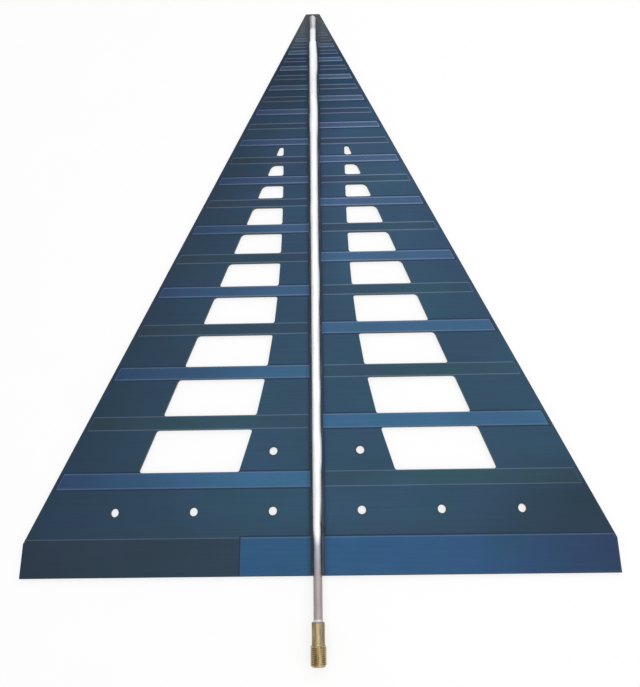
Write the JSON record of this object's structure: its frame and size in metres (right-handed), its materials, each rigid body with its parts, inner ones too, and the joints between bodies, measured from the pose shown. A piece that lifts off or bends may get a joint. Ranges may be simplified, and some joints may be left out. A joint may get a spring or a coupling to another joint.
{
  "type": "log-periodic antenna",
  "caption": "Triangular printed-board log-periodic antenna with routed windows, mounting holes, a soldered semi-rigid coax along the centre and a threaded coaxial jack at its base.",
  "frame": {"origin": "centre of the four inner mounting holes, on the rear face of the board", "axes": "+X across the board, +Y towards the tip along the coax, +Z out of the front face that carries the coax"},
  "size_m": [0.24, 0.3093, 0.0073],
  "materials": {
    "laminate": "matte",
    "copper": "satin",
    "solder_mask": "semi-gloss",
    "tinned_copper": "bright",
    "ptfe": "waxy",
    "silvered_wire": "bright",
    "solder": "satin",
    "gold_plate": "bright"
  },
  "bodies": {
    "root": {"laminate": "laminate", "front_copper": "copper", "rear_copper": "copper", "front_mask": "solder_mask", "rear_mask": "solder_mask", "coax_shield": "tinned_copper", "coax_dielectric": "ptfe", "coax_conductor": "silvered_wire", "seam_solder": "solder", "feed_solder": "solder", "ferrule_solder": "solder", "connector_body": "gold_plate", "connector_insulator": "ptfe", "connector_contact": "gold_plate"}
  },
  "joints": []
}
